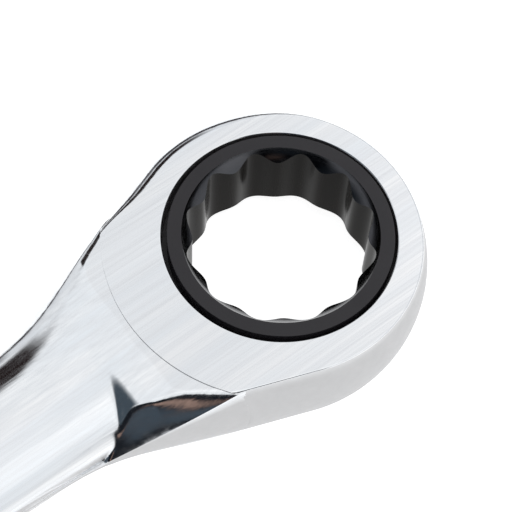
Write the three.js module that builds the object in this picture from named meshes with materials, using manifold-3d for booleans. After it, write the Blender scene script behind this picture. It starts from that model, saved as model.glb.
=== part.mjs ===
// Ratcheting combination wrench, nominal 19 mm: a forged body with a ratcheting
// twelve-point ring at one end and a fixed open jaw at the other.
// Millimetres, +Z up, the wrench lying flat on the reverse side of its ring.
import * as THREE from 'three';
import { mergeVertices } from 'three/addons/utils/BufferGeometryUtils.js';
import Module from 'manifold-3d';

// ---------- driving dimensions ----------
const nominal = 19;              // width across the flats of the nut it fits
const ringThickness = 11;        // ring end, face to face
const middle = ringThickness / 2;
const ringRadius = 17.2;         // widest part of the ring's side wall
const ringOffset = 1.0;          // outline centre, from the bore centre towards the shank
const discRadius = 19.5;         // flat raised face around the bore, on the shank side
const wallDraft = 1.0;           // side wall leans in this much at each face
const faceChamfer = 0.3;
const undersideChamfer = 0.35;

const flareSlope = 0.37;         // neck narrows this much per side, per mm of length
const shankHalfWidth = 7.95;
const flareEnd = 29.07;          // distance from the bore where the flare would end
const flareSoftness = 3;
const shankHalfThickness = 3.8;
const rampSlope = 0.13;          // neck's top falls away from the ring's face at this slope
const rampEnd = 32;

const openingX = 217.42;         // centre of the nut in the open jaw, from the ring bore
const openingY = 0.6;
const openingTurn = THREE.MathUtils.degToRad(15);
const openingWidth = nominal + 0.15;
const jawThickness = 8.6;
const jawHalfWidth = 20.2;

// mechanism, radii from the gear's axis and heights from the reverse face
const gearPlay = 0.2;            // the pawls push the gear this far off the bore's centre
const lipBoreRadius = 12.8;      // bore through the front lip
const lipUnderside = 8.7;
const housingRadius = 13.75;     // bore that the toothed rim runs in
const ringGrooveRadius = 14.4;
const ringGroove = [1.3, 2.4];
const hubRadius = 12.36;
const gearBottom = 1.15;
const rim = [2.7, 8.5];
const toothCount = 72;
const rootRadius = 12.85;
const tipRadius = 13.45;
const leadInRadius = 10.79;
const leadInSlope = 1.1;         // radius lost per mm of depth
const pointMeanRadius = 10.05;
const pointWave = 0.395;         // lands stand this far inside the mean, points this far outside
const pointTurn = THREE.MathUtils.degToRad(23.8);

const pocket = { front: 11, back: 20, halfWidth: 3.85, low: 2.75, high: 8.45 };
const pawlHalfWidth = 3.65;
const pawlBack = 18.8;
const pawlHeld = 0.62;           // how far the gear's teeth hold the second pawl back
const pawls = [
  { name: 'lower', low: 2.9, high: 5.55, springY: -1.75, springZ: 4.3, shift: 0, phase: 0 },
  { name: 'upper', low: 5.65, high: 8.3, springY: 1.75, springZ: 6.9, shift: pawlHeld, phase: 0.5 },
];
const springHoleRadius = 1.15;
const springHoleEnd = 27.6;
const springMeanRadius = 0.78;
const springWireRadius = 0.16;
const springTurns = 7.5;
const plungerRadius = 1.0;

// the bore centre, seen from the middle of the whole wrench's outline
const boreX = -107.8;
const boreY = -0.21;

// ---------- helpers ----------
const wasm = await Module();
wasm.setup();

const softRamp = (distance, softness) =>
  softness * Math.log1p(Math.exp(Math.min(distance / softness, 40)));

function toManifold(geometry) {
  const plain = geometry.clone();
  plain.deleteAttribute('normal');
  plain.deleteAttribute('uv');
  const merged = mergeVertices(plain, 1e-5);
  return new wasm.Manifold(new wasm.Mesh({
    numProp: 3,
    vertProperties: Float32Array.from(merged.attributes.position.array),
    triVerts: Uint32Array.from(merged.index.array),
  }));
}

function toGeometry(solid) {
  const mesh = solid.getMesh();
  const geometry = new THREE.BufferGeometry();
  geometry.setAttribute('position', new THREE.BufferAttribute(mesh.vertProperties, 3));
  geometry.setIndex(new THREE.BufferAttribute(mesh.triVerts, 1));
  geometry.computeVertexNormals();
  return geometry;
}

// skin over a stack of closed loops, each with the same number of points, with a fan at both ends
function skin(loops) {
  const size = loops[0].length;
  const points = loops.flat();
  const faces = [];
  for (let k = 0; k < loops.length - 1; k += 1) {
    for (let i = 0; i < size; i += 1) {
      const a = k * size + i;
      const b = k * size + ((i + 1) % size);
      faces.push(a, b, b + size, a, b + size, a + size);
    }
  }
  for (const [k, flip] of [[0, true], [loops.length - 1, false]]) {
    const hub = points.length;
    const sum = loops[k].reduce((s, p) => [s[0] + p[0], s[1] + p[1], s[2] + p[2]], [0, 0, 0]);
    points.push(sum.map((v) => v / size));
    for (let i = 0; i < size; i += 1) {
      const a = k * size + i;
      const b = k * size + ((i + 1) % size);
      faces.push(...(flip ? [hub, b, a] : [hub, a, b]));
    }
  }
  const geometry = new THREE.BufferGeometry();
  geometry.setAttribute('position', new THREE.Float32BufferAttribute(points.flat(), 3));
  geometry.setIndex(faces);
  return geometry;
}

// upright cylinder or cone between two heights
function column(lowRadius, highRadius, low, high, x = 0, y = 0, segments = 96) {
  const geometry = new THREE.CylinderGeometry(highRadius, lowRadius, high - low, segments);
  geometry.rotateX(Math.PI / 2);
  geometry.translate(x, y, (low + high) / 2);
  return toManifold(geometry);
}

// solid turned about the vertical axis from a list of [radius, height]
function turned(profile, segments = 96) {
  const geometry = new THREE.LatheGeometry(profile.map((p) => new THREE.Vector2(...p)), segments);
  geometry.rotateX(Math.PI / 2);
  return toManifold(geometry);
}

// cylinder lying along X between two distances
function rod(radius, start, end, y, z, segments = 28) {
  const geometry = new THREE.CylinderGeometry(radius, radius, end - start, segments);
  geometry.rotateZ(-Math.PI / 2);
  geometry.translate((start + end) / 2, y, z);
  return toManifold(geometry);
}

// straight prism over a list of [x, y] points
function prism(points, low, high) {
  const shape = new THREE.Shape(points.map((p) => new THREE.Vector2(p[0], p[1])));
  const geometry = new THREE.ExtrudeGeometry(shape, { depth: high - low, bevelEnabled: false });
  geometry.translate(0, 0, low);
  return toManifold(geometry);
}

function roundedRectangle(left, right, halfWidth, radius) {
  const points = [];
  const corners = [[right, halfWidth, 0], [left, halfWidth, 1], [left, -halfWidth, 2], [right, -halfWidth, 3]];
  for (const [x, y, quarter] of corners) {
    const cx = x - Math.sign(x - (left + right) / 2) * radius;
    const cy = y - Math.sign(y) * radius;
    for (let k = 0; k <= 5; k += 1) {
      const angle = (quarter + k / 5) * Math.PI / 2;
      points.push([cx + radius * Math.cos(angle), cy + radius * Math.sin(angle)]);
    }
  }
  return points;
}

// ---------- wrench body ----------
// half width of the neck and shank at a distance from the bore
function halfWidth(x) {
  const neck = flareSlope * softRamp(flareEnd - x, flareSoftness);
  const taper = -0.6 * (1 - Math.exp(-Math.max(x - 30, 0) / 45));
  const jawFlare = 0.42 * softRamp(x - (openingX - 33), 3);
  return shankHalfWidth + taper + neck + jawFlare;
}

// half thickness along the centre line, and at the foot of the crown on each side
function crownHeight(x) {
  const neck = rampSlope * softRamp(rampEnd - x, 3);
  const waist = -0.35 * (1 - Math.exp(-Math.max(x - 30, 0) / 40));
  const jawRise = 0.06 * softRamp(x - (openingX - 34), 3);
  const limit = x > openingX / 2 ? jawThickness / 2 - 0.1 : middle - 0.05;
  return Math.min(shankHalfThickness + waist + neck + jawRise, limit);
}

function wallHeight(x) {
  const neck = 0.4 * softRamp(27.4 - x, 1.6);
  const jawWall = 0.13 * softRamp(x - (openingX - 30), 3);
  return Math.min(0.3 + neck + jawWall, crownHeight(x) - 0.25);
}

// side wall leans in towards both faces
const lean = (height) => wallDraft * (height / middle) ** 2;

function shankSection(x) {
  const crown = crownHeight(x);
  const foot = Math.min(wallHeight(x), middle - 0.2);
  const wide = halfWidth(x) - 0.02;
  const edge = wide - lean(foot);
  const steps = 16;
  const loop = [];
  for (const side of [1, -1]) {
    loop.push([x, side * wide, middle]);
    for (let k = 0; k <= steps; k += 1) {
      const angle = (k / steps) * Math.PI;
      const rise = foot + (crown - foot) * Math.sin(angle) ** 0.85;
      loop.push([x, side * edge * Math.cos(angle), middle + side * rise]);
    }
  }
  return loop;
}

function shankLoft() {
  const stations = [9, 11, 13];
  for (let x = 14.5; x < 31; x += 1.1) stations.push(x);
  for (let x = 33; x < openingX - 40; x += 12) stations.push(x);
  for (let x = openingX - 36; x < openingX - 12; x += 2.4) stations.push(x);
  return toManifold(skin(stations.map(shankSection)));
}

// outline of the ring end from the bore centre: a circle, then the tangent flare, cut by the disc
function ringOutline(angle, inset) {
  const turn = Math.abs(angle);
  const length = Math.hypot(1, flareSlope);
  const reach = ringRadius - inset;
  const tangent = Math.atan2(reach / length, ringOffset + reach * flareSlope / length);
  let radius;
  if (turn > tangent) {
    const across = ringOffset * Math.sin(turn);
    radius = ringOffset * Math.cos(turn) + Math.sqrt(reach ** 2 - across ** 2);
  } else {
    radius = (reach * length + flareSlope * ringOffset) / (Math.sin(turn) + flareSlope * Math.cos(turn));
  }
  return Math.min(radius, discRadius);
}

function ringBlock() {
  const levels = [
    [0, lean(middle) + undersideChamfer],
    [undersideChamfer, lean(middle - undersideChamfer)],
    [2.6, lean(middle - 2.6)],
    [middle, 0],
    [8.4, lean(8.4 - middle)],
    [ringThickness - faceChamfer, lean(middle - faceChamfer)],
    [ringThickness, lean(middle) + faceChamfer],
  ];
  const count = 108;
  const loops = levels.map(([height, inset]) => {
    const loop = [];
    for (let i = 0; i < count; i += 1) {
      const angle = ((i + 0.5) / count) * 2 * Math.PI - Math.PI;
      const radius = ringOutline(angle, inset);
      loop.push([radius * Math.cos(angle), radius * Math.sin(angle), height]);
    }
    return loop;
  });
  return toManifold(skin(loops));
}

// turn a point of the open jaw's own frame into the wrench's frame
function fromJaw(u, v) {
  const c = Math.cos(openingTurn);
  const s = Math.sin(openingTurn);
  return [openingX + c * u - s * v, openingY + s * u + c * v];
}

function jawBlock() {
  const low = middle - jawThickness / 2;
  const high = middle + jawThickness / 2;
  const levels = [[low, 1.1], [low + 0.35, 0.5], [low + 1.2, 0.12], [middle, 0], [high - 1.2, 0.12],
    [high - 0.35, 0.5], [high, 1.1]];
  const count = 84;
  const loops = levels.map(([height, inset]) => {
    const loop = [];
    for (let i = 0; i < count; i += 1) {
      const angle = (i / count) * 2 * Math.PI;
      const c = Math.cos(angle);
      const s = Math.sin(angle);
      const alongReach = (c > 0 ? 15.2 : 19) - inset;
      const power = c > 0 ? 2.6 : 2;
      const wide = jawHalfWidth - inset;
      const radius = (Math.abs(c / alongReach) ** power + Math.abs(s / wide) ** power) ** (-1 / power);
      loop.push([...fromJaw(-2 + radius * c, radius * s), height]);
    }
    return loop;
  });
  return toManifold(skin(loops));
}

function jawGap() {
  const half = openingWidth / 2;
  const outline = [[24, -half], [24, half], [-5.2, half]];
  for (let k = 0; k <= 8; k += 1) {
    const angle = THREE.MathUtils.degToRad(150 + k * 7.5);
    outline.push([-8.2 + 3.4 * Math.cos(angle), 3.4 * Math.sin(angle)]);
  }
  outline.push([-5.2, -half]);
  return prism(outline.map(([u, v]) => fromJaw(u, v)), -2, ringThickness + 2);
}

function wrenchBody() {
  const x = gearPlay;
  let solid = ringBlock().add(shankLoft()).add(jawBlock()).subtract(jawGap());
  solid = solid.subtract(column(lipBoreRadius, lipBoreRadius, lipUnderside - 1, ringThickness + 1, x));
  solid = solid.subtract(column(lipBoreRadius - 0.3, lipBoreRadius + 0.7, ringThickness - 0.55,
    ringThickness + 0.45, x));
  solid = solid.subtract(column(housingRadius, housingRadius, -1, lipUnderside, x));
  solid = solid.subtract(column(ringGrooveRadius, ringGrooveRadius, ringGroove[0], ringGroove[1], x));
  solid = solid.subtract(prism(roundedRectangle(pocket.front, pocket.back, pocket.halfWidth, 1),
    pocket.low, pocket.high));
  for (const pawl of pawls) {
    solid = solid.subtract(rod(springHoleRadius, pocket.back - 1.5, springHoleEnd, pawl.springY, pawl.springZ));
  }
  return solid;
}

// ---------- ratchet gear ----------
// outline of the teeth over a span of tooth numbers: steep on one side, sloping on the other
function toothLine(first, last, phase, gap) {
  const points = [];
  for (let i = first; i < last; i += 1) {
    for (const [part, radius] of [[0, rootRadius], [0.2, tipRadius], [0.32, tipRadius]]) {
      const angle = ((i + part + phase) / toothCount) * 2 * Math.PI;
      points.push([(radius + gap) * Math.cos(angle), (radius + gap) * Math.sin(angle)]);
    }
  }
  return points;
}

function twelvePoint() {
  const points = [];
  const count = 12 * 8;
  for (let i = 0; i < count; i += 1) {
    const angle = (i / count) * 2 * Math.PI + pointTurn;
    const radius = pointMeanRadius - pointWave * Math.cos(12 * (angle - pointTurn));
    points.push([radius * Math.cos(angle), radius * Math.sin(angle)]);
  }
  return prism(points, -1, ringThickness + 1);
}

function ratchetGear() {
  const depth = 1.5;
  const wide = leadInRadius + leadInSlope;
  const narrow = leadInRadius - leadInSlope * depth;
  const top = ringThickness;
  let solid = turned([[0, gearBottom], [hubRadius - 0.2, gearBottom], [hubRadius, gearBottom + 0.2],
    [hubRadius, top - 0.12], [hubRadius - 0.12, top], [0, top]]);
  solid = solid.add(prism(toothLine(0, toothCount, 0, 0), ...rim));
  solid = solid.subtract(twelvePoint());
  solid = solid.subtract(column(narrow, wide, top - depth, top + 1));
  solid = solid.subtract(column(leadInRadius, leadInRadius - 2, gearBottom - 0.9, gearBottom + 1.1));
  return solid;
}

// ---------- retaining ring, pawls and springs ----------
function snapRing() {
  const [low, high] = [1.42, 2.28];
  const outline = [];
  const gap = THREE.MathUtils.degToRad(11);
  const steps = 72;
  for (const [radius, way] of [[14.25, 1], [12.65, -1]]) {
    for (let k = 0; k <= steps; k += 1) {
      const part = way > 0 ? k / steps : 1 - k / steps;
      const angle = Math.PI + gap + part * (2 * Math.PI - 2 * gap);
      outline.push([gearPlay + radius * Math.cos(angle), radius * Math.sin(angle)]);
    }
  }
  return prism(outline, low, high);
}

function pawlBlock(pawl) {
  const teeth = toothLine(-3, 3, pawl.phase, 0.12);
  const shifted = teeth.map(([x, y]) => [x + pawl.shift, y]);
  const front = shifted.slice(1);
  const back = pawlBack + pawl.shift;
  const start = front[0][0] + 0.2;
  const end = front[front.length - 1][0] + 0.2;
  const outline = [
    [start, -pawlHalfWidth], ...front, [end, pawlHalfWidth],
    [back - 0.6, pawlHalfWidth], [back, pawlHalfWidth - 0.6],
    [back, -pawlHalfWidth + 0.6], [back - 0.6, -pawlHalfWidth],
  ];
  return prism(outline, pawl.low, pawl.high);
}

// headed pin between a pawl and its spring
function plunger(pawl) {
  const head = pawlBack + pawl.shift + 0.05;
  const profile = [[0, 0], [0.55, 0], [plungerRadius, 0.45], [plungerRadius, 2.4], [0.45, 2.4], [0.45, 4.3],
    [0.3, 4.5], [0, 4.5]];
  const geometry = new THREE.LatheGeometry(profile.map((p) => new THREE.Vector2(...p)), 28);
  geometry.rotateZ(-Math.PI / 2);
  geometry.translate(head, pawl.springY, pawl.springZ);
  return toManifold(geometry);
}

class Coil extends THREE.Curve {
  constructor(start, end, pawl) {
    super();
    this.start = start;
    this.end = end;
    this.pawl = pawl;
  }

  // the first and last three quarters of a turn lie nearly flat, as ground ends do
  getPoint(t, target = new THREE.Vector3()) {
    const angle = t * springTurns * 2 * Math.PI;
    const flat = 0.75 / springTurns;
    const wire = springWireRadius * 1.6;
    const inner = Math.min(Math.max((t - flat) / (1 - 2 * flat), 0), 1);
    const ends = (Math.min(t, flat) + Math.max(t - 1 + flat, 0)) / flat;
    const x = this.start + wire * ends + inner * (this.end - this.start - 2 * wire);
    const y = this.pawl.springY + springMeanRadius * Math.cos(angle);
    const z = this.pawl.springZ + springMeanRadius * Math.sin(angle);
    return target.set(x, y, z);
  }
}

function coilSpring(pawl) {
  const start = pawlBack + pawl.shift + 0.05 + 2.4 + springWireRadius + 0.03;
  const end = springHoleEnd - springWireRadius - 0.03;
  const wire = new THREE.Shape();
  wire.absarc(0, 0, springWireRadius, 0, 2 * Math.PI);
  const geometry = new THREE.ExtrudeGeometry(wire, {
    steps: Math.round(springTurns * 13),
    curveSegments: 3,
    extrudePath: new Coil(start, end, pawl),
  });
  return toManifold(geometry);
}

// ---------- assembly ----------
const finishes = {
  polished: { color: 0xd4d8dc, roughness: 0.25, metalness: 1 },
  blackOxide: { color: 0x2a2828, roughness: 0.45, metalness: 0.9 },
  springSteel: { color: 0x8a8d90, roughness: 0.35, metalness: 1 },
};

const group = new THREE.Group();
group.name = 'ratcheting_combination_wrench';

function addPiece(name, solid, finish) {
  const geometry = toGeometry(solid);
  geometry.translate(boreX, boreY, 0);
  const mesh = new THREE.Mesh(geometry, new THREE.MeshStandardMaterial(finishes[finish]));
  mesh.name = name;
  group.add(mesh);
}

addPiece('wrench_body', wrenchBody(), 'polished');
addPiece('ratchet_gear', ratchetGear(), 'blackOxide');
addPiece('snap_ring', snapRing(), 'blackOxide');
for (const pawl of pawls) {
  addPiece(`${pawl.name}_pawl`, pawlBlock(pawl), 'blackOxide');
  addPiece(`${pawl.name}_plunger`, plunger(pawl), 'springSteel');
  addPiece(`${pawl.name}_pawl_spring`, coilSpring(pawl), 'springSteel');
}

export default group;
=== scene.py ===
import bpy
import math
import numpy as np
from mathutils import Matrix


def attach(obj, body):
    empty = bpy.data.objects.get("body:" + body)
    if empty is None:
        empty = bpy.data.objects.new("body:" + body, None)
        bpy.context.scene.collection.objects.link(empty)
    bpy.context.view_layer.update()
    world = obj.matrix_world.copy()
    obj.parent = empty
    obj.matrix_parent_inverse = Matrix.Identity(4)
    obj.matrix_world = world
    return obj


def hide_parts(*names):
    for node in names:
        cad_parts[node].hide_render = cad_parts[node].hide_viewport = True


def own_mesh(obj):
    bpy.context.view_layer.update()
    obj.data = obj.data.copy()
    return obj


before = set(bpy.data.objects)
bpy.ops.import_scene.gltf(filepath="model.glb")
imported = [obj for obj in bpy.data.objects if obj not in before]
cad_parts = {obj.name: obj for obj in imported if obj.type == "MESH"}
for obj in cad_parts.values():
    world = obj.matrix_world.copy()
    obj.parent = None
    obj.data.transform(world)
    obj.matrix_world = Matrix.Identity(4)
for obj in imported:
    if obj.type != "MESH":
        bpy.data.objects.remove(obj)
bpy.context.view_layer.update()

# All shapes below are worked out in millimetres from the ratchet bore's centre, shank along +X.
boreCentre = np.array([-107.8, -0.21, 0.0])
middle = 5.5        # height of the plane the wrench is symmetric about
gearPlay = 0.2      # the pawls push the gear this far off the outline's centre


def softRamp(distance, softness):
    # softness times ln(1 + e^(distance / softness)): nought, then a straight line, with a soft corner
    return softness * np.logaddexp(0.0, distance / softness)


def smoothStep(x, start, end):
    # 0 before start, 1 after end, and 3t^2 - 2t^3 between
    t = np.clip((x - start) / (end - start), 0.0, 1.0)
    return t * t * (3 - 2 * t)


def softMax(a, b, softness):
    # b plus softRamp(a - b): the higher of two heights, with a small fillet where they cross
    return b + softRamp(a - b, softness)


def newPiece(name, points, faces, smoothAngle=30.0):
    # a mesh object from points in mm about the bore and a list of face arrays
    mesh = bpy.data.meshes.new(name)
    lists = []
    for block in faces:
        lists.extend(block.tolist())
    mesh.from_pydata(((points + boreCentre) * 0.001).tolist(), [], lists)
    mesh.validate()
    finishShading(mesh, smoothAngle)
    piece = bpy.data.objects.new(name, mesh)
    bpy.context.scene.collection.objects.link(piece)
    return piece


def finishShading(mesh, smoothAngle):
    mesh.polygons.foreach_set("use_smooth", np.ones(len(mesh.polygons), bool))
    mesh.set_sharp_from_angle(angle=math.radians(smoothAngle))
    mesh.update()


def gridFaces(rows, columns, closeRows, closeColumns, start=0):
    # quads of a grid of points numbered row by row, joined round either way
    r = np.arange(rows if closeRows else rows - 1)
    c = np.arange(columns if closeColumns else columns - 1)
    r, c = np.meshgrid(r, c, indexing="ij")
    r2, c2 = (r + 1) % rows, (c + 1) % columns
    quads = np.stack([r * columns + c, r * columns + c2, r2 * columns + c2, r2 * columns + c], -1)
    return quads.reshape(-1, 4) + start


def capFaces(ring, hub, flip):
    # triangles from a closed ring of point numbers to one hub point
    after = np.roll(ring, -1)
    hubs = np.full_like(ring, hub)
    return np.stack([hubs, after, ring] if flip else [hubs, ring, after], -1)


def loft(name, loops, smoothAngle=30.0, flip=False):
    # closed skin over an array of closed loops (loop, point, xyz), with a fan at both ends
    count, size = loops.shape[:2]
    points = np.concatenate([loops.reshape(-1, 3), [loops[0].mean(0), loops[-1].mean(0)]])
    faces = [gridFaces(count, size, False, True)]
    faces.append(capFaces(np.arange(size), count * size, True))
    faces.append(capFaces(np.arange(size) + (count - 1) * size, count * size + 1, False))
    if flip:
        faces = [f[:, ::-1] for f in faces]
    return newPiece(name, points, faces, smoothAngle)


def hoop(name, loops, smoothAngle=30.0, flip=False):
    # closed skin over loops that join round both ways, like a tyre
    faces = gridFaces(loops.shape[0], loops.shape[1], True, True)
    return newPiece(name, loops.reshape(-1, 3), [faces[:, ::-1] if flip else faces], smoothAngle)


def prism(name, outline, low, high):
    # straight prism over an outline (point, xy) that runs anticlockwise
    heights = np.array([low, high])
    loops = np.empty((2, len(outline), 3))
    loops[:, :, :2] = outline
    loops[:, :, 2] = heights[:, None]
    return loft(name, loops)


def combine(target, tool, operation):
    # boolean of two closed pieces, applied, and the tool removed
    step = target.modifiers.new("join", "BOOLEAN")
    step.operation, step.object, step.solver = operation, tool, "MANIFOLD"
    bpy.context.view_layer.update()
    evaluated = target.evaluated_get(bpy.context.evaluated_depsgraph_get())
    mesh = bpy.data.meshes.new_from_object(evaluated)
    target.modifiers.remove(step)
    old = target.data
    target.data = mesh
    bpy.data.meshes.remove(old)
    bpy.data.objects.remove(tool)


def arc(centreX, centreY, radius, start, end, steps):
    # part of a circle: centre plus radius times cosine and sine of an angle in degrees
    angle = np.radians(np.linspace(start, end, steps))
    return np.stack([centreX + radius * np.cos(angle), centreY + radius * np.sin(angle)], -1)


# wrench body, in mm; rises and flares are mm per mm of length
body = {
    "thickness": 11.0, "outlineRadius": 17.2, "outlineOffset": 1.0, "discRadius": 19.5, "draft": 1.0,
    "flareSlope": 0.37, "flareEnd": 29.07, "flareSoftness": 3.0, "shankHalfWidth": 7.95,
    "shankHalfThickness": 3.8, "rampSlope": 0.13, "rampEnd": 32.0, "softness": 3,
    "taper": 0.6, "taperLength": 45, "waist": 0.35, "waistLength": 40, "slimStart": 30,
    "wallFoot": 0.3, "wallSlope": 0.4, "wallEnd": 27.4, "wallSoftness": 1.6,
    "edgeRound": 0.21, "edgeWorn": 0.09, "edgeWornAt": 0.84, "discEdgeRound": 0.3, "neckEdgeRound": 1.3,
    "lowerEdge": 0.35, "discStep": 0.14, "archPower": 0.425, "neckLimit": 60,
    "tongueEnd": 24.4, "tongueDrop": 0.8, "archFlare": 0.12, "archRamp": 0.12,
    "cheekStart": 14.5, "cheekLength": 8, "cheekSlope": 0.3, "cheekSteeper": 0.6, "cheekLip": 0.2,
    "cheekLipLength": 0.7, "openingX": 217.42, "openingY": 0.6, "openingTurn": math.radians(15), "openingWidth": 19.15,
    "lipBore": 12.8, "lipUnderside": 8.7, "housing": 13.75, "grooveRadius": 14.4, "groove": (1.3, 2.4),
    "pocket": (11.0, 20.0, 3.85, 2.75, 8.45), "springHoleRadius": 1.15, "springHoleStart": 18.5,
    "springHoleEnd": 27.6,
}
jaw = {
    "thickness": 8.6, "halfWidth": 20.2, "front": 15.2, "back": 19.0, "frontPower": 2.6, "backPower": 2.0,
    "edge": 1.0, "edgeInset": 1.1, "edgePower": 1.3, "setBack": -2,
    "flareSlope": 0.42, "flareStart": 33, "riseSlope": 0.06, "riseStart": 34,
    "wallSlope": 0.13, "wallStart": 30, "flatStart": -5.2, "flatEnd": 24, "throatX": -8.2, "throatRadius": 3.4,
}


def lean(height):
    # the side wall leans in by the draft times (height / half thickness) squared
    return body["draft"] * (height / middle) ** 2


def slimmed(x, amount, length):
    # minus the amount times (1 - e^(-distance / length)): nought at the neck, then slowly slimmer
    return -amount * (1 - np.exp(-np.maximum(x - body["slimStart"], 0) / length))


def halfWidth(x):
    # shank half width, less a slow taper, plus a soft straight flare at either end
    taper = slimmed(x, body["taper"], body["taperLength"])
    neck = body["flareSlope"] * softRamp(body["flareEnd"] - x, body["flareSoftness"])
    flare = jaw["flareSlope"] * softRamp(x - (body["openingX"] - jaw["flareStart"]), body["softness"])
    return body["shankHalfWidth"] + taper + neck + flare


def crownHeight(x):
    # shank half thickness, less a slow waist, plus a straight ramp at either end, up to a limit
    waist = slimmed(x, body["waist"], body["waistLength"])
    neck = body["rampSlope"] * softRamp(body["rampEnd"] - x, body["softness"])
    rise = jaw["riseSlope"] * softRamp(x - (body["openingX"] - jaw["riseStart"]), body["softness"])
    limit = np.where(x > body["openingX"] / 2, jaw["thickness"] / 2 - 0.1, middle - 0.05)
    return np.minimum(body["shankHalfThickness"] + waist + neck + rise, limit)


def wallHeight(x):
    # half height of the upright wall: short on the shank, rising along a crisp line at the neck
    neck = body["wallSlope"] * softRamp(body["wallEnd"] - x, body["wallSoftness"])
    rise = jaw["wallSlope"] * softRamp(x - (body["openingX"] - jaw["wallStart"]), body["softness"])
    return np.minimum(body["wallFoot"] + neck + rise, crownHeight(x) - 0.25)


def ringOutline(angle, inset):
    # a circle set off towards the shank, then its tangent at the flare's slope, cut by the round disc
    turn = np.abs(angle)
    length = math.hypot(1, body["flareSlope"])
    reach = body["outlineRadius"] - inset
    offset = body["outlineOffset"]
    tangent = np.arctan2(reach / length, offset + reach * body["flareSlope"] / length)
    circle = offset * np.cos(turn) + np.sqrt(reach ** 2 - (offset * np.sin(turn)) ** 2)
    across = np.sin(turn) + body["flareSlope"] * np.cos(turn)
    flare = (reach * length + body["flareSlope"] * offset) / across
    return np.minimum(np.where(turn > tangent, circle, flare), body["discRadius"])


def ringBlock():
    # ring end as one tyre: at each angle a closed profile runs up the wall, in over the face and down the bore
    count = 560
    angle = (np.arange(count) + 0.5) / count * 2 * math.pi - math.pi
    # the edge along one side of the neck is dressed rounder than the nose
    dressed = smoothStep(-angle, 0.55, 1.0) * (1 - smoothStep(-angle, 1.7, 2.5))
    disc = 1 - smoothStep(np.abs(angle), 0.62, 0.74)
    # the edge is crisper on one side of the ring than on the other
    edge = body["edgeRound"] - body["edgeWorn"] * np.cos(angle - body["edgeWornAt"])
    edge = edge + (body["discEdgeRound"] - edge) * disc
    edge = edge + (body["neckEdgeRound"] - edge) * dressed
    top, low = body["thickness"], body["lowerEdge"]
    mouth = body["lipBore"] + 0.14
    rows = []

    def outer(height, extra):
        radius = ringOutline(angle, lean(np.abs(height - middle)) + extra)
        rows.append(np.stack([radius * np.cos(angle), radius * np.sin(angle), height], -1))

    def inner(radius, height):
        rows.append(np.stack([gearPlay + radius * np.cos(angle), radius * np.sin(angle),
                              np.full(count, height)], -1))

    for turn in np.radians(np.linspace(90, 0, 7)):      # lower edge, a quarter round
        outer(np.full(count, low * (1 - math.sin(turn))), low * (1 - math.cos(turn)))
    for share in np.linspace(0, 1, 15)[1:-1]:
        outer(low + share * (top - edge - low), 0.0)
    for turn in np.radians(np.linspace(0, 90, 12)):     # upper edge, a quarter round of its own radius
        outer(top - edge * (1 - math.sin(turn)), edge * (1 - math.cos(turn)))
    outer(np.full(count, top), edge + 0.04)             # keeps the flat face's shading flat
    rim = rows[-1]
    bore = np.stack([gearPlay + mouth * np.cos(angle), mouth * np.sin(angle), np.full(count, top)], -1)
    for share in np.linspace(0, 1, 6)[1:-1]:
        rows.append(rim + (bore - rim) * share)
    lip, under, house, groove = body["lipBore"], body["lipUnderside"], body["housing"], body["groove"]
    for radius, height in [(mouth + 0.04, top), (mouth, top), (lip + 0.1, top - 0.02), (lip + 0.02, top - 0.1),
                           (lip, top - 0.16), (lip, under + 0.05), (lip + 0.05, under), (house, under),
                           (house, middle), (house, groove[1]), (body["grooveRadius"], groove[1]),
                           (body["grooveRadius"], groove[0]), (house, groove[0]), (house, 0.25),
                           (house + 0.25, 0.0)]:
        inner(radius, height)
    return hoop("wrench_body_steel", np.array(rows)[::-1])


def topHeight(x, y, foot, edge):
    # half thickness over the plan of the shank and neck: first a rounded bar, an arch across of
    # (1 - (y / half)^2)^0.425, that keeps its width into the neck
    atNeck = x < body["neckLimit"]
    waist = slimmed(x, body["waist"], body["waistLength"])
    ramp = body["archRamp"] * softRamp(body["rampEnd"] - x, body["softness"])
    crown = body["shankHalfThickness"] + waist + ramp
    crown = np.where(atNeck, np.minimum(crown, crownHeight(x)), crownHeight(x))
    taper = slimmed(x, body["taper"], body["taperLength"])
    flare = body["archFlare"] * softRamp(body["flareEnd"] - x, body["softness"])
    half = body["shankHalfWidth"] + taper + flare
    half = np.where(atNeck, np.minimum(half, edge), edge)
    low = np.where(atNeck, body["wallFoot"], foot)
    arch = low + (crown - low) * np.maximum(1 - (y / half) ** 2, 0) ** body["archPower"]
    # a flat tongue from the ring's face that ends in a short drop, with a cheek down to the wall's edge
    tongue = crownHeight(x) - body["tongueDrop"] * softRamp(x - body["tongueEnd"], 0.5)
    steeper = np.clip((x - body["cheekStart"]) / body["cheekLength"], 0, 1) ** 0.8
    slope = body["cheekSlope"] + body["cheekSteeper"] * steeper
    inward = edge - np.abs(y)
    cheek = foot + slope * inward + body["cheekLip"] * (1 - np.exp(-inward / body["cheekLipLength"]))
    web = tongue - softRamp(tongue - cheek, 0.16)
    near = np.minimum(softMax(web, arch, 0.12), middle - body["discStep"])
    # the other side of the neck has no cheek: one arch, squarer near the ring
    square = 1 - smoothStep(x, 20, 31)
    shoulder = 1 - 0.88 * (1 - smoothStep(x, 17, 35))       # down to 0.12 where the section is squarest
    bulge = np.maximum(1 - np.abs(y / edge) ** (2 / shoulder), 0) ** (body["archPower"] + 0.075 * square)
    far = np.minimum(foot + (crownHeight(x) - foot) * bulge, middle - body["discStep"])
    share = smoothStep(y, -2.5, 2.5)
    return np.where(atNeck, far + (near - far) * share, arch)


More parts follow.
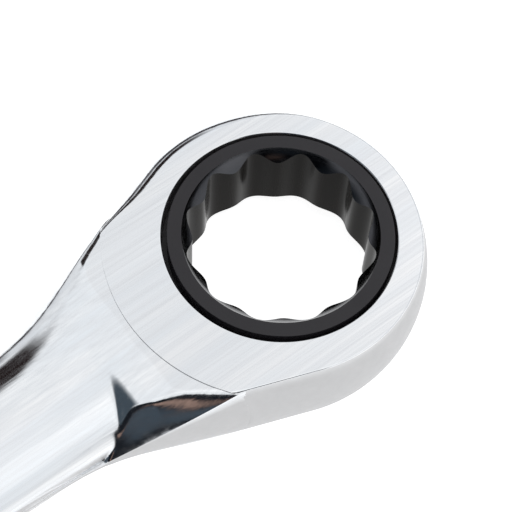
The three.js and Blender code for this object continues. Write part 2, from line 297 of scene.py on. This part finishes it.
def shankLoft():
    # shank as a loft: at each station the section runs over the top and down to the wall's mid line
    end = body["openingX"] - 12
    stations = [(9, 13.6, 8), (13.8, 31, 108), (32, end - 36, 40), (end - 34, end, 30)]     # closer at the neck
    x = np.concatenate([np.linspace(*run) for run in stations])[:, None]
    wide = halfWidth(x) - 0.02 - 0.3 * softRamp(14.3 - x, 0.2)
    foot = np.minimum(wallHeight(x), middle - 0.2)
    edge = wide - lean(foot)
    turn = np.radians(np.linspace(0, 180, 141))
    across = edge * np.cos(turn)
    top = topHeight(x, across, foot, edge)
    loops = []
    for side in (1, -1):
        share = np.linspace(0, 1, 5)[:-1]
        section, run = (top, across) if side > 0 else (top[:, ::-1], across[:, ::-1])
        lying, bow = np.broadcast_to(x, (len(x), 4)), side * (wide - edge) * (1 - share ** 2)
        first = np.stack([lying, run[:, :1] + bow, middle + side * section[:, :1] * share], -1)
        arch = np.stack([np.broadcast_to(x, run.shape), run, middle + side * section], -1)
        last = np.stack([lying, run[:, -1:] - bow, middle + side * section[:, -1:] * share], -1)[:, ::-1]
        loops += [first, arch, last[:, :-1]]
    return loft("shank", np.concatenate(loops, 1))


def fromJaw(points):
    # turned by the opening's angle and moved to the opening's centre
    c, s = math.cos(body["openingTurn"]), math.sin(body["openingTurn"])
    u, v = points[..., 0], points[..., 1]
    return np.stack([body["openingX"] + c * u - s * v, body["openingY"] + s * u + c * v], -1)


def jawBlock():
    # jaw disc: a superellipse, blunter in front than behind, in rounded layers
    low, high = middle - jaw["thickness"] / 2, middle + jaw["thickness"] / 2
    levels = []
    for turn in np.linspace(0, math.pi / 2, 9):
        inset = jaw["edgeInset"] * (1 - math.sin(turn)) ** jaw["edgePower"]
        levels.append((low + jaw["edge"] * (1 - math.cos(turn)), inset))
    levels += [(z, 0.0) for z in np.linspace(low + 1.2, high - 1.2, 6)]
    levels += [(high - (z - low), inset) for z, inset in levels[8::-1]]
    count = 480
    angle = np.arange(count) / count * 2 * math.pi
    c, s = np.cos(angle), np.sin(angle)
    loops = []
    for height, inset in levels:
        reach = np.where(c > 0, jaw["front"], jaw["back"]) - inset
        power = np.where(c > 0, jaw["frontPower"], jaw["backPower"])
        radius = (np.abs(c / reach) ** power + np.abs(s / (jaw["halfWidth"] - inset)) ** power) ** (-1 / power)
        flat = fromJaw(np.stack([jaw["setBack"] + radius * c, radius * s], -1))
        loops.append(np.concatenate([flat, np.full((count, 1), height)], 1))
    return loft("jaw", np.array(loops))


def jawGap():
    # the open jaw: two flats and a rounded throat, as a prism to cut with
    half = body["openingWidth"] / 2
    start, end = jaw["flatStart"], jaw["flatEnd"]
    throat = arc(jaw["throatX"], 0, jaw["throatRadius"], 150, 210, 25)
    outline = np.concatenate([[[start, -half], [end, -half], [end, half], [start, half]], throat])
    return prism("jaw_gap", fromJaw(outline), -2, 13)


def roundedRectangle(left, right, half, radius):
    far, near, side = right - radius, left + radius, half - radius
    corners = [(far, side, 0), (near, side, 90), (near, -side, 180), (far, -side, 270)]
    return np.concatenate([arc(x, y, radius, start, start + 90, 7) for x, y, start in corners])


def rod(name, radius, start, end, y, z):
    # round bar lying along X
    angle = np.arange(48) / 48 * 2 * math.pi
    ring = np.stack([0 * angle, y + radius * np.cos(angle), z + radius * np.sin(angle)], -1)
    loops = np.array([ring + [start, 0, 0], ring + [end, 0, 0]])
    return loft(name, loops)


def wrenchBody():
    steel = ringBlock()
    tools = [(shankLoft(), "UNION"), (jawBlock(), "UNION"), (jawGap(), "DIFFERENCE")]
    left, right, half, low, high = body["pocket"]
    tools.append((prism("pocket", roundedRectangle(left, right, half, 1.0), low, high), "DIFFERENCE"))
    for side in ("lower", "upper"):
        y, z = pawl[side]["springY"], pawl[side]["springZ"]
        start, end = body["springHoleStart"], body["springHoleEnd"]
        hole = rod("spring_hole", body["springHoleRadius"], start, end, y, z)
        tools.append((hole, "DIFFERENCE"))
    # the shank's end must not fill the bore, so its bore is cut first
    bore = body["housing"] + 0.6
    angle = np.arange(360) / 360 * 2 * math.pi
    ring = np.stack([gearPlay + bore * np.cos(angle), bore * np.sin(angle)], -1)
    combine(tools[0][0], prism("clearance", ring, -2, 13), "DIFFERENCE")
    for tool, operation in tools:
        combine(steel, tool, operation)
    finishShading(steel.data, 28)
    # the upright walls are left satin: full within about 15 degrees of upright, gone at 30
    mesh = steel.data
    normals = np.empty(len(mesh.vertices) * 3, np.float32)
    mesh.vertex_normals.foreach_get("vector", normals)
    lying = np.abs(normals.reshape(-1, 3)[:, 2])
    satin = mesh.attributes.new("satinWall", "FLOAT", "POINT")
    satin.data.foreach_set("value", (1 - smoothStep(lying, 0.27, 0.5)).astype(np.float32))
    return steel


# ratchet gear; "turn" sets where its twelve points stand at rest
gear = {
    "hubRadius": 12.36, "bottom": 1.15, "top": 11.0, "rimLow": 2.7, "rimHigh": 8.5, "teeth": 72,
    "rootRadius": 12.85, "tipRadius": 13.45, "leadInRadius": 10.79, "meanRadius": 10.05, "wave": 0.46,
    "turn": math.radians(23.8),
}


def ratchetGear():
    # gear as one tyre: a wavy twelve-point wall inside, ratchet teeth outside
    parts = np.array([0, 0.05, 0.1, 0.15, 0.2, 0.26, 0.32, 0.44, 0.58, 0.72, 0.86])
    heights = np.interp(parts, [0, 0.2, 0.32, 1], [0, 1, 1, 0])
    step = (np.arange(gear["teeth"])[:, None] + parts).ravel()
    angle = step / gear["teeth"] * 2 * math.pi
    tooth = gear["rootRadius"] + (gear["tipRadius"] - gear["rootRadius"]) * np.tile(heights, gear["teeth"])
    # wall radius: the mean less a cosine wave of twelve
    swing = np.cos(12 * (angle - gear["turn"]))
    wall = gear["meanRadius"] - gear["wave"] * swing
    top, bottom = gear["top"], gear["bottom"]
    count, hub = len(angle), gear["hubRadius"]
    leadInRows, wallRows = 15, 14
    rows = []

    def ring(radius, height):
        radius = np.broadcast_to(radius, (count,))
        height = np.broadcast_to(height, (count,))
        rows.append(np.stack([radius * np.cos(angle), radius * np.sin(angle), height], -1))

    # lead-in: radius lost is 0.6 d + 0.2 d^2 at depth d, so it meets the wall at the depth below
    lost = gear["leadInRadius"] - wall
    meet = (-0.6 + np.sqrt(0.36 + 0.8 * lost)) / 0.4
    for share in np.linspace(0, 1, leadInRows):
        depth = meet * share
        ring(gear["leadInRadius"] - 0.6 * depth - 0.2 * depth ** 2, top - depth)
    lowLost = np.maximum(gear["leadInRadius"] - 0.2 - wall, 0.02)
    for share in np.linspace(0, 1, wallRows)[1:]:
        ring(wall, (top - meet) * (1 - share) + (bottom + lowLost) * share)
    ring(wall + lowLost, bottom)
    for radius, height in [(11.6, bottom), (hub - 0.2, bottom), (hub, bottom + 0.2), (hub, gear["rimLow"])]:
        ring(radius, height)
    for height in np.linspace(gear["rimLow"], gear["rimHigh"], 4):
        ring(tooth, height)
    for radius, height in [(hub, gear["rimHigh"]), (hub, top - 0.08), (hub - 0.02, top - 0.02),
                           (hub - 0.08, top), (hub - 0.1, top), (11.6, top), (gear["leadInRadius"] + 0.03, top)]:
        ring(radius, height)
    piece = hoop("twelve_point_gear", np.array(rows), 32)
    # the lead-in is turned, the wall below it is broached and made darker with painted shade, and the rest is left as
    # blackened
    row = np.arange(len(rows)).repeat(count)
    finish = np.where(row < leadInRows - 1, 2, np.where(row < leadInRows + wallRows, 1, 0)).astype(np.int32)
    for material in (blackOxide(), shadedBroachedOxide(), turnedOxide()):
        piece.data.materials.append(material)
    piece.data.polygons.foreach_set("material_index", finish)
    return piece


snap = {"outer": 14.25, "inner": 12.65, "low": 1.42, "high": 2.28, "gap": 11.0, "round": 0.08}


def snapRing():
    # open ring of flat wire: a rounded rectangle carried round an arc
    angle = np.radians(np.linspace(180 + snap["gap"], 540 - snap["gap"], 241))
    section = roundedRectangle(snap["inner"], snap["outer"], (snap["high"] - snap["low"]) / 2, snap["round"])
    radius, height = section[:, 0], section[:, 1] + (snap["high"] + snap["low"]) / 2
    x = gearPlay + radius * np.cos(angle)[:, None]
    y = radius * np.sin(angle)[:, None]
    return loft("retaining_ring", np.stack([x, y, np.broadcast_to(height, x.shape)], -1), flip=True)


# both pawls and their springs; the upper one stands half a tooth out of step, shifted back
pawl = {
    "halfWidth": 3.65, "back": 18.8, "clearance": 0.12, "corner": 0.6, "bevel": 0.00006,
    "lower": {"low": 2.9, "high": 5.55, "springY": -1.75, "springZ": 4.3,
              "shift": 0.0, "phase": 0.0, "travel": 0.9},
    "upper": {"low": 5.65, "high": 8.3, "springY": 1.75, "springZ": 6.9,
              "shift": 0.62, "phase": 0.5, "travel": 0.3},
}


def pawlBlock(name):
    # pawl: a block whose front carries the gear's own tooth line, with its edges broken
    own = pawl[name]
    parts = np.array([0, 0.2, 0.32])
    radii = np.array([gear["rootRadius"], gear["tipRadius"], gear["tipRadius"]])
    angle = ((np.arange(-3, 3)[:, None] + parts + own["phase"]) / gear["teeth"] * 2 * math.pi).ravel()[1:]
    radius = np.tile(radii, 6)[1:] + pawl["clearance"]
    front = np.stack([radius * np.cos(angle) + own["shift"], radius * np.sin(angle)], -1)
    half, back, corner = pawl["halfWidth"], pawl["back"] + own["shift"], pawl["corner"]
    outline = np.concatenate([[[front[0, 0] + 0.2, -half]], front, [[front[-1, 0] + 0.2, half]],
                              arc(back - corner, half - corner, corner, 90, 0, 6),
                              arc(back - corner, -half + corner, corner, 0, -90, 6)])[::-1]
    piece = prism(name + "_ratchet_pawl", outline, own["low"], own["high"])
    edges = piece.modifiers.new("edges", "BEVEL")
    edges.width, edges.segments, edges.limit_method = pawl["bevel"], 2, "ANGLE"
    edges.angle_limit = math.radians(50)
    return piece


def turnedAlongX(name, profile, x, y, z):
    # turned part lying along X from a list of (distance, radius) that starts and ends on the axis
    angle = np.arange(48) / 48 * 2 * math.pi
    distance, radius = np.array(profile).T[:, :, None]
    loops = np.stack([x + distance + 0 * angle, y + radius * np.cos(angle), z + radius * np.sin(angle)], -1)
    return loft(name, loops)


# plunger: gap behind the pawl, and length of the head that the spring bears on
pin = {"gap": 0.05, "headLength": 2.4}


def plungerStart(own):
    return pawl["back"] + own["shift"] + pin["gap"]


def plunger(name):
    own = pawl[name]
    profile = [(0, 0.02), (0, 0.5), (0.04, 0.6), (0.4, 0.95), (0.5, 1.0), (2.34, 1.0), (2.4, 0.94), (2.4, 0.5),
               (2.46, 0.45), (4.25, 0.45), (4.5, 0.3), (4.5, 0.02)]
    return turnedAlongX(name + "_spring_plunger", profile, plungerStart(own), own["springY"], own["springZ"])


spring = {"mean": 0.78, "wire": 0.16, "turns": 7.5, "around": 14, "along": 481}


def coilSpring(name):
    # round wire carried along a helix whose end turns lie nearly flat
    own = pawl[name]
    start = plungerStart(own) + pin["headLength"] + spring["wire"] + 0.03
    end = body["springHoleEnd"] - spring["wire"] - 0.03
    t = np.linspace(0, 1, spring["along"])
    turn = t * spring["turns"] * 2 * math.pi
    flat, lift = 0.75 / spring["turns"], spring["wire"] * 1.6
    inner = np.clip((t - flat) / (1 - 2 * flat), 0, 1)
    ends = (np.minimum(t, flat) + np.maximum(t - 1 + flat, 0)) / flat
    x = start + lift * ends + inner * (end - start - 2 * lift)
    outward = np.stack([np.zeros_like(t), np.cos(turn), np.sin(turn)], -1)
    axis = np.stack([x, np.full_like(t, own["springY"]), np.full_like(t, own["springZ"])], -1)
    line = axis + spring["mean"] * outward
    around = np.arange(spring["around"]) / spring["around"] * 2 * math.pi
    alongX = np.array([1.0, 0.0, 0.0])
    loops = line[:, None] + spring["wire"] * (np.cos(around)[None, :, None] * outward[:, None]
                                              + np.sin(around)[None, :, None] * alongX)
    return loft(name + "_coil_spring", loops, 60, flip=True)


def newMaterial(name, colour, metallic, roughness):
    material = bpy.data.materials.new(name)
    material.use_nodes = True
    nodes, links = material.node_tree.nodes, material.node_tree.links
    shader = nodes["Principled BSDF"]
    shader.inputs["Base Color"].default_value = (*colour, 1)
    shader.inputs["Metallic"].default_value = metallic
    shader.inputs["Roughness"].default_value = roughness
    return material, nodes, links, shader


def streaks(nodes, links, scale, detail, x, y, turn=0.0):
    # noise stretched along X, for brushing lines
    coordinates = nodes.new("ShaderNodeTexCoord")
    mapping = nodes.new("ShaderNodeMapping")
    mapping.inputs["Rotation"].default_value = (0, 0, turn)
    mapping.inputs["Scale"].default_value = scale
    noise = nodes.new("ShaderNodeTexNoise")
    noise.inputs["Scale"].default_value = 1.0
    noise.inputs["Detail"].default_value = detail
    noise.inputs["Roughness"].default_value = 0.6
    links.new(coordinates.outputs["Object"], mapping.inputs["Vector"])
    links.new(mapping.outputs["Vector"], noise.inputs["Vector"])
    for node, step in ((coordinates, 0), (mapping, 180), (noise, 360)):
        node.location = (x + step, y)
    return noise.outputs["Fac"]


def mapRange(nodes, links, value, fromLow, fromHigh, toLow, toHigh, x, y):
    node = nodes.new("ShaderNodeMapRange")
    sockets = {"From Min": fromLow, "From Max": fromHigh, "To Min": toLow, "To Max": toHigh}
    for socket, number in sockets.items():
        node.inputs[socket].default_value = number
    links.new(value, node.inputs["Value"])
    node.location = (x, y)
    return node.outputs["Result"]


def addBump(nodes, links, shader, heights, x, y):
    # bumps one after another: (height, strength, distance in metres)
    normal = None
    for height, strength, distance in heights:
        bump = nodes.new("ShaderNodeBump")
        bump.inputs["Strength"].default_value = strength
        bump.inputs["Distance"].default_value = distance
        bump.location = (x, y)
        y -= 180
        links.new(height, bump.inputs["Height"])
        if normal:
            links.new(normal, bump.inputs["Normal"])
        normal = bump.outputs["Normal"]
    links.new(normal, shader.inputs["Normal"])


steel = {
    "colour": (0.79, 0.82, 0.85), "tint": (0.88, 0.885, 0.89), "hair": (0.74, 0.755, 0.775),
    "satinColour": (0.52, 0.52, 0.525), "polish": (0.07, 0.17), "satinRoughness": (0.42, 0.5),
}


def mixColour(nodes, links, factor, first, second, x, y):
    node = nodes.new("ShaderNodeMix")
    node.data_type = "RGBA"
    node.location = (x, y)
    links.new(factor, node.inputs["Factor"])
    for socket, colour in (("A", first), ("B", second)):
        if isinstance(colour, tuple):
            node.inputs[socket].default_value = (*colour, 1)
        else:
            links.new(colour, node.inputs[socket])
    return node.outputs["Result"]


def mixNumber(nodes, links, factor, first, second, x, y):
    node = nodes.new("ShaderNodeMix")
    node.location = (x, y)
    for socket, value in (("Factor", factor), ("A", first), ("B", second)):
        links.new(value, node.inputs[socket])
    return node.outputs["Result"]


def polishedSteel():
    # chrome-bright polished steel with long fine polishing lines, and satin walls
    material, nodes, links, shader = newMaterial("polished chrome steel", steel["colour"], 1.0, 0.15)
    fine = streaks(nodes, links, (38, 2400, 2400), 3, -1100, 300)
    broad = streaks(nodes, links, (20, 420, 420), 2, -1100, -100, 0.03)
    grain = streaks(nodes, links, (900, 900, 900), 3, -1100, -500)
    satin = nodes.new("ShaderNodeAttribute")
    satin.attribute_name = "satinWall"
    satin.location = (-1100, 600)
    polish = mapRange(nodes, links, fine, 0.3, 0.7, *steel["polish"], -400, 0)
    dull = mapRange(nodes, links, grain, 0.3, 0.7, *steel["satinRoughness"], -400, -500)
    rough = mixNumber(nodes, links, satin.outputs["Fac"], polish, dull, -200, -100)
    links.new(rough, shader.inputs["Roughness"])
    lines = mapRange(nodes, links, broad, 0.35, 0.65, 0, 1, -600, 260)
    bright = mixColour(nodes, links, lines, steel["colour"], steel["tint"], -500, 260)
    hair = mapRange(nodes, links, fine, 0.3, 0.7, 0, 1, -600, 400)
    bright = mixColour(nodes, links, hair, bright, steel["hair"], -350, 260)
    shown = mixColour(nodes, links, satin.outputs["Fac"], bright, steel["satinColour"], -200, 260)
    links.new(shown, shader.inputs["Base Color"])
    addBump(nodes, links, shader, [(fine, 0.6, 0.00001), (broad, 0.5, 0.00003)], -200, -300)
    return material


# the bore wall's colour is darker than the blackened steel: painted shade for the dim floor under the bore that the
# wall mirrors
oxide = {"colour": (0.0188, 0.0168, 0.0204), "roughness": 0.4, "broachedShade": (0.009, 0.0076, 0.0062),
         "broachedRoughness": 0.2, "turned": (0.075, 0.077, 0.084), "turnedRoughness": 0.16}


def blackOxide():
    # blackened steel: satin with a fine grain
    material, nodes, links, shader = newMaterial("satin black oxide", oxide["colour"], 0.0, oxide["roughness"])
    shader.inputs["Specular IOR Level"].default_value = 0.4
    grain = streaks(nodes, links, (2200, 2200, 2200), 4, -900, 100)
    cloud = streaks(nodes, links, (260, 260, 260), 2, -900, -200)
    base = oxide["roughness"]
    rough = mapRange(nodes, links, cloud, 0.3, 0.7, base - 0.05, base + 0.06, -200, 0)
    links.new(rough, shader.inputs["Roughness"])
    addBump(nodes, links, shader, [(grain, 0.25, 0.00003)], -200, -300)
    return material


def shadedBroachedOxide():
    # the broached wall of the bore: smoother, with fine upright lines; its darker colour and weak reflection (low IOR)
    # are painted shade, standing in for the dim floor under the bore that the wall mirrors
    material, nodes, links, shader = newMaterial("broached black oxide with painted shade", oxide["broachedShade"], 0.0, 0.2)
    shader.inputs["IOR"].default_value = 1.13
    drawn = streaks(nodes, links, (1500, 1500, 60), 3, -900, 100)
    base = oxide["broachedRoughness"]
    rough = mapRange(nodes, links, drawn, 0.3, 0.7, base - 0.08, base + 0.1, -200, 0)
    links.new(rough, shader.inputs["Roughness"])
    addBump(nodes, links, shader, [(drawn, 0.3, 0.00002)], -200, -300)
    return material


def turnedOxide():
    # the turned lead-in: blackened bright metal that mirrors the room dimly, with lines round it
    material, nodes, links, shader = newMaterial("turned black oxide", oxide["turned"], 1.0, 0.2)
    grain = streaks(nodes, links, (500, 500, 4000), 3, -900, 100)
    base = oxide["turnedRoughness"]
    rough = mapRange(nodes, links, grain, 0.3, 0.7, base - 0.05, base + 0.12, -200, 0)
    links.new(rough, shader.inputs["Roughness"])
    addBump(nodes, links, shader, [(grain, 0.3, 0.00001)], -200, -300)
    return material


def springSteel():
    material, nodes, links, shader = newMaterial("spring steel", (0.42, 0.42, 0.43), 1.0, 0.32)
    grain = streaks(nodes, links, (300, 3000, 3000), 3, -900, 100)
    links.new(mapRange(nodes, links, grain, 0.3, 0.7, 0.24, 0.4, -200, 0), shader.inputs["Roughness"])
    addBump(nodes, links, shader, [(grain, 0.2, 0.00002)], -200, -300)
    return material


pieces = {}
print("body")
pieces["wrench_body"] = wrenchBody()
print("gear")
pieces["ratchet_gear"] = ratchetGear()
print("mechanism")
pieces["snap_ring"] = snapRing()
for side in ("lower", "upper"):
    pieces[side + "_pawl"] = pawlBlock(side)
    pieces[side + "_plunger"] = plunger(side)
    pieces[side + "_pawl_spring"] = coilSpring(side)

print("materials")
chrome = polishedSteel()
black = pieces["ratchet_gear"].data.materials[0]
springy = springSteel()
rides = {"wrench_body": ("wrench", chrome, "polished_steel"), "ratchet_gear": ("gear", black, "black_steel"),
         "snap_ring": ("wrench", black, "black_steel")}
for side in ("lower", "upper"):
    rides[side + "_pawl"] = (side + "_pawl", black, "black_steel")
    rides[side + "_plunger"] = (side + "_pawl", springy, "spring_steel")
    rides[side + "_pawl_spring"] = ("wrench", springy, "spring_steel")
for node, piece in pieces.items():
    bodyName, material, slotName = rides[node]
    if node != "ratchet_gear":
        piece.data.materials.clear()
        piece.data.materials.append(material)
    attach(piece, bodyName)
    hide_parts(node)
    if node.endswith("spring"):
        side = node.split("_")[0]
        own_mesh(piece)

print("stage")
scene = bpy.context.scene
scene.view_settings.view_transform = "Standard"
# floor, room and camera
studio = {"floorSize": 3.0, "floorColour": (0.45, 0.45, 0.45), "floorGlow": 0.92,
          "horizon": (0.75, 0.76, 0.78), "ceiling": (0.98, 1.0, 1.02)}


def stageFloor():
    half = studio["floorSize"]
    corners = [(-half, -half, 0), (half, -half, 0), (half, half, 0), (-half, half, 0)]
    mesh = bpy.data.meshes.new("floor")
    mesh.from_pydata(corners, [], [(0, 1, 2, 3)])
    floor = bpy.data.objects.new("floor", mesh)
    scene.collection.objects.link(floor)
    material, nodes, links, shader = newMaterial("pale floor", studio["floorColour"], 0.0, 0.9)
    shader.inputs["Emission Color"].default_value = (1, 1, 1, 1)
    shader.inputs["Emission Strength"].default_value = studio["floorGlow"]
    mesh.materials.append(material)


# lamps and dark things round the room that the polished steel mirrors: azimuth from +X and elevation of
# the middle, half width and half height as sines, softness of the edge, colour; later ones cover earlier ones
flags = {
    "overhead lamp": (112, 74, 0.25, 0.15, 0.7, (1.17, 1.18, 1.19)),
    "left lamp": (-156, 62, 0.22, 0.25, 0.8, (1.08, 1.08, 1.09)),
    "dim": (-121, 63, 0.1, 0.12, 0.9, (0.945, 0.955, 0.97)),
    "near lamp": (96, 8, 0.24, 0.24, 0.5, (1.12, 1.12, 1.12)),
    "behind": (-98, 37, 0.25, 0.21, 0.16, (0.016, 0.01, 0.01)),
    "low behind": (-112, 10, 0.33, 0.16, 0.25, (0.05, 0.045, 0.05)),
    "skirting": (-120, 4, 0.95, 0.07, 0.3, (0.05, 0.045, 0.05)),
    "front": (45, 26, 0.59, 0.36, 0.08, (0.01, 0.012, 0.016)),
    "side": (-17, 39, 0.36, 0.34, 0.35, (0.06, 0.08, 0.1)),
    "slate": (49, 17, 0.2, 0.08, 0.4, (0.06, 0.078, 0.098)),
    "warm": (61, 28, 0.09, 0.055, 0.5, (0.33, 0.22, 0.18)),
}


def skyLight():
    # soft bright room all round, with lamps and dark flags in it; a flag is full where
    # (across / half width)^4 + (up / half height)^4 is small, and only in front
    world = bpy.data.worlds.new("studio")
    scene.world = world
    world.use_nodes = True
    nodes, links = world.node_tree.nodes, world.node_tree.links
    coordinates = nodes.new("ShaderNodeTexCoord")
    split = nodes.new("ShaderNodeSeparateXYZ")
    links.new(coordinates.outputs["Generated"], split.inputs["Vector"])
    level = mapRange(nodes, links, split.outputs["Z"], 0.0, 0.8, 0, 1, -900, 300)
    colour = mixColour(nodes, links, level, studio["horizon"], studio["ceiling"], -700, 300)
    for azimuth, elevation, halfWide, halfHigh, soft, shade in flags.values():
        place = nodes.new("ShaderNodeMapping")
        place.vector_type = "TEXTURE"
        place.inputs["Rotation"].default_value = (0, -math.radians(elevation), math.radians(azimuth))
        place.inputs["Scale"].default_value = (1, halfWide, halfHigh)
        links.new(coordinates.outputs["Generated"], place.inputs["Vector"])
        parts = nodes.new("ShaderNodeSeparateXYZ")
        links.new(place.outputs["Vector"], parts.inputs["Vector"])
        powers = []
        for axis in "YZ":
            power = nodes.new("ShaderNodeMath")
            power.operation = "POWER"
            power.inputs[1].default_value = 4.0
            size = nodes.new("ShaderNodeMath")
            size.operation = "ABSOLUTE"
            links.new(parts.outputs[axis], size.inputs[0])
            links.new(size.outputs[0], power.inputs[0])
            powers.append(power.outputs[0])
        total = nodes.new("ShaderNodeMath")
        links.new(powers[0], total.inputs[0])
        links.new(powers[1], total.inputs[1])
        inside = mapRange(nodes, links, total.outputs[0], (1 - soft) ** 4, (1 + soft) ** 4, 1, 0, -500, 0)
        ahead = nodes.new("ShaderNodeMath")
        ahead.operation = "GREATER_THAN"
        ahead.inputs[1].default_value = 0.0
        links.new(parts.outputs["X"], ahead.inputs[0])
        both = nodes.new("ShaderNodeMath")
        both.operation = "MULTIPLY"
        links.new(inside, both.inputs[0])
        links.new(ahead.outputs[0], both.inputs[1])
        colour = mixColour(nodes, links, both.outputs[0], colour, shade, -300, 0)
    links.new(colour, nodes["Background"].inputs["Color"])
    nodes["Background"].inputs["Strength"].default_value = 1.0


# camera: place in metres, heading, tilt and roll in degrees
view = {"lens": 110.70, "sensor": 36.0, "place": (-0.051356, 0.059789, 0.159686),
        "heading": 138.5, "tilt": 28.052, "roll": 4.453}


def mainCamera():
    data = bpy.data.cameras.new("camera")
    camera = bpy.data.objects.new("camera", data)
    scene.collection.objects.link(camera)
    data.lens, data.sensor_width = view["lens"], view["sensor"]
    data.clip_start, data.clip_end = 0.01, 20.0
    heading = Matrix.Rotation(math.radians(view["heading"]), 4, "Z")
    tilt = Matrix.Rotation(math.radians(view["tilt"]), 4, "X")
    roll = Matrix.Rotation(math.radians(view["roll"]), 4, "Z")
    camera.matrix_world = Matrix.Translation(view["place"]) @ heading @ tilt @ roll
    scene.camera = camera


stageFloor()
skyLight()
mainCamera()
